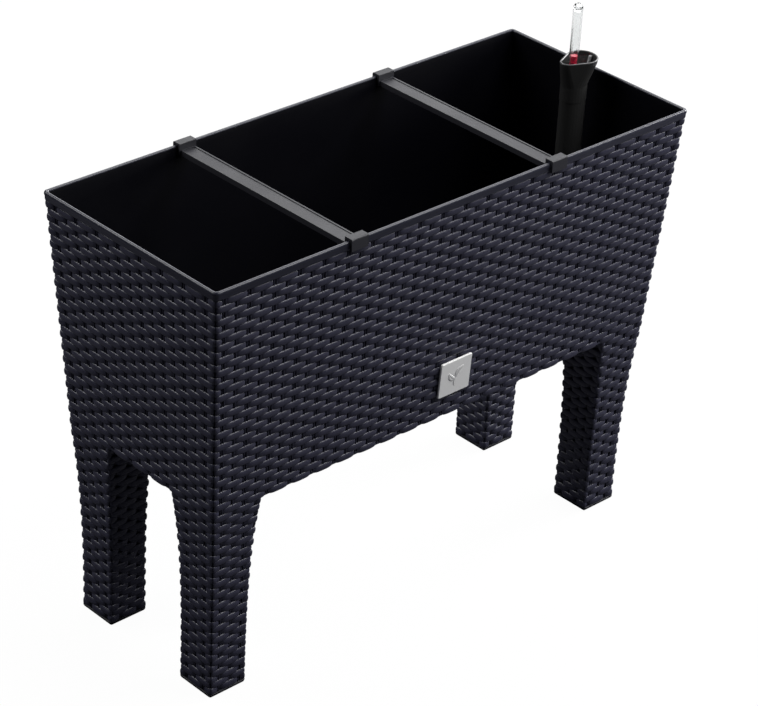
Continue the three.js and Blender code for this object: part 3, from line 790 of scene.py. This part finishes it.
# %% [markdown]
# ## Lip of the filling funnel
# A thin rounded bead runs round the drop-shaped mouth, where the wall of the moulding ends. It
# is a small circle carried round the outline of two circles and their tangents.

# %% Bead round the mouth
NARROW, WIDE = (254.0, 8.0), (274.0, 16.3)


def mouth_outline(angle, shrink):
    """Outline whose outward direction has the given angle: the larger circle where the
    direction points its way, the smaller one elsewhere."""
    switch = (NARROW[1] - WIDE[1]) / (WIDE[0] - NARROW[0])
    big = np.cos(angle) > switch
    centre, radius = np.where(big, WIDE[0], NARROW[0]), np.where(big, WIDE[1], NARROW[1])
    return centre + (radius - shrink) * np.cos(angle), (radius - shrink) * np.sin(angle)


def mouth_bead(name, z, shrink, radius):
    """A tube of round section along the mouth's outline."""
    steps, sides = 72, 10
    angle = np.linspace(0, 2 * np.pi, steps, endpoint=False)[:, None]
    turn = np.linspace(0, 2 * np.pi, sides, endpoint=False)[None]
    x, y = mouth_outline(angle, shrink)
    out = radius * np.cos(turn)
    points = np.stack([x + out * np.cos(angle), y + out * np.sin(angle),
                       z + radius * np.sin(turn) + 0 * angle], -1).reshape(-1, 3)
    piece = new_piece(name, points, grid_quads(steps, sides, True, True, 0, True), lip_finish, "filler")
    return piece


lip_finish = plastic("black_lip_plastic", (0.055, 0.055, 0.057), 0.28, 0.36, 400, 0.04)
bead = mouth_bead("funnel_lip", 472.0, 0.85, 0.95)
print("funnel_lip triangles:", triangles(bead))

# %% [markdown]
# A small upright rib stands on the inside of the mouth at its wide end, where it stiffens the
# thin wall. A rounded jacket is carried down over the frame's square rib, so that its edges
# are soft and catch the light, as the edges of a moulded rib do. Its light grey is a painted
# highlight, for the bright streak of light along the rib.

# %% Rib inside the mouth
RIB_Z = [458.0, 461.0, 468.0, 470.7]       # heights where the slope of the rib changes
RIB_RADIUS = [9.0, 9.9, 12.0, 12.5]        # its middle, from the wide circle's centre


def mouth_rib(name, half_across, half_in):
    """A closed bar of rounded square section, whose sine and cosine are raised to the power
    0.45. Its distance from the circle's centre is a straight-line table of the height."""
    steps, sides, squareness = 12, 16, 0.45
    z = np.linspace(RIB_Z[0], RIB_Z[-1], steps)[:, None]
    turn = np.linspace(0, 2 * np.pi, sides, endpoint=False)[None]
    square_cos = np.sign(np.cos(turn)) * np.abs(np.cos(turn)) ** squareness
    square_sin = np.sign(np.sin(turn)) * np.abs(np.sin(turn)) ** squareness
    x = WIDE[0] + np.interp(z, RIB_Z, RIB_RADIUS) + half_in * square_cos
    y = half_across * square_sin + 0 * z
    points = np.stack([x, y, z + 0 * turn], -1).reshape(-1, 3)
    caps = [np.arange(sides)[::-1], (steps - 1) * sides + np.arange(sides)]
    quads = grid_quads(steps, sides, False, True)
    piece = new_piece(name, points, quads, rib_highlight_finish, "filler", caps=caps)
    return piece


# Painted highlight: the rib's light grey stands for the streak of light reflected along it.
rib_highlight_finish = plastic("rib_painted_highlight_plastic", (0.30, 0.30, 0.305), 0.25, 0.33, 400, 0.04)
rib = mouth_rib("mouth_rib", 1.12, 2.05)
print("mouth_rib triangles:", triangles(rib))

# %% [markdown]
# ## Floor, light and camera
# A pale floor and a white surround keep the setting plain. The floor looks bright to the
# camera but sheds little light, so the slots stay dark. Two large soft lamps stand above and
# behind, a strong one to the right and a weaker one in front. Each is placed so that the faces
# that should shine reflect it towards the camera.

# %% Studio
floor_mesh = bpy.data.meshes.new("studio_floor")
floor_mesh.from_pydata([(-9, -9, 0), (9, -9, 0), (9, 9, 0), (-9, 9, 0)], [], [(0, 1, 2, 3)])
floor = bpy.data.objects.new("studio_floor", floor_mesh)
bpy.context.scene.collection.objects.link(floor)
floor_finish = bpy.data.materials.new("pale_floor")
floor_finish.use_nodes = True
tree = floor_finish.node_tree
tree.nodes.clear()
matt, glow = tree.nodes.new("ShaderNodeBsdfDiffuse"), tree.nodes.new("ShaderNodeEmission")
dull = tree.nodes.new("ShaderNodeBsdfDiffuse")
bright, choose = tree.nodes.new("ShaderNodeAddShader"), tree.nodes.new("ShaderNodeMixShader")
light_path, either = tree.nodes.new("ShaderNodeLightPath"), tree.nodes.new("ShaderNodeMath")
floor_out = tree.nodes.new("ShaderNodeOutputMaterial")
matt.inputs["Color"].default_value = (0.03, 0.03, 0.03, 1)
dull.inputs["Color"].default_value = (0.07, 0.07, 0.08, 1)
glow.inputs["Strength"].default_value = 0.97
either.operation = "MAXIMUM"
tree.links.new(light_path.outputs["Is Camera Ray"], either.inputs[0])
tree.links.new(light_path.outputs["Is Transmission Ray"], either.inputs[1])
tree.links.new(matt.outputs[0], bright.inputs[0])
tree.links.new(glow.outputs[0], bright.inputs[1])
tree.links.new(either.outputs[0], choose.inputs[0])
tree.links.new(dull.outputs[0], choose.inputs[1])
tree.links.new(bright.outputs[0], choose.inputs[2])
tree.links.new(choose.outputs[0], floor_out.inputs["Surface"])
floor_mesh.materials.append(floor_finish)

world = bpy.data.worlds.new("white_surround")
world.use_nodes = True
tree = world.node_tree
dim = tree.nodes["Background"]
dim.inputs["Color"].default_value = (0.9, 0.94, 1.0, 1)
dim.inputs["Strength"].default_value = 0.055
seen = tree.nodes.new("ShaderNodeBackground")
seen.inputs["Strength"].default_value = 1.0
choose, light_path = tree.nodes.new("ShaderNodeMixShader"), tree.nodes.new("ShaderNodeLightPath")
tree.links.new(light_path.outputs["Is Camera Ray"], choose.inputs[0])
tree.links.new(dim.outputs[0], choose.inputs[1])
tree.links.new(seen.outputs[0], choose.inputs[2])
tree.links.new(choose.outputs[0], tree.nodes["World Output"].inputs["Surface"])
bpy.context.scene.world = world
bpy.context.scene.view_settings.view_transform = "Standard"


def lamp(name, place, target, size, power):
    """A square area lamp at a place, facing a target point."""
    data = bpy.data.lights.new(name, "AREA")
    data.size, data.energy = size, power
    holder = bpy.data.objects.new(name, data)
    bpy.context.scene.collection.objects.link(holder)
    direction = np.array(target, float) - np.array(place, float)
    holder.location = place
    holder.rotation_mode = "QUATERNION"
    holder.rotation_quaternion = Vector(direction).to_track_quat("-Z", "Y")
    return holder


lamp("back_lamp", (1.5, 1.5, 1.9), (0, 0, 0.3), 2.0, 42)
lamp("right_lamp", (2.6, -0.35, 1.3), (0, 0, 0.3), 1.3, 105)
lamp("back_left_lamp", (-1.5, 1.8, 2.4), (0, 0, 0.3), 1.8, 52)
lamp("front_lamp", (0.9, -1.1, 1.9), (0, 0, 0.33), 1.3, 32)
print("lamps:", len(bpy.data.lights))

# %% [markdown]
# The camera looks down on the front left corner from about thirty degrees, a little tilted,
# through a long lens, which keeps the upright lines nearly parallel.

# %% Camera
lens = bpy.data.cameras.new("view_camera")
camera = bpy.data.objects.new("view_camera", lens)
bpy.context.scene.collection.objects.link(camera)
camera.location = (-1.66988, -1.72341, 1.63234)
camera.rotation_mode = "XYZ"
camera.rotation_euler = [math.radians(v) for v in (59.70450, -2.71629, -42.77746)]
SENSOR_WIDTH = 36.0
FOCAL_WIDTHS = 3.75916886543536    # focal length, in widths of the picture
lens.sensor_width = SENSOR_WIDTH
lens.lens = FOCAL_WIDTHS * SENSOR_WIDTH
lens.clip_start, lens.clip_end = 0.05, 50
bpy.context.scene.camera = camera
print("camera at", tuple(round(v, 3) for v in camera.location))
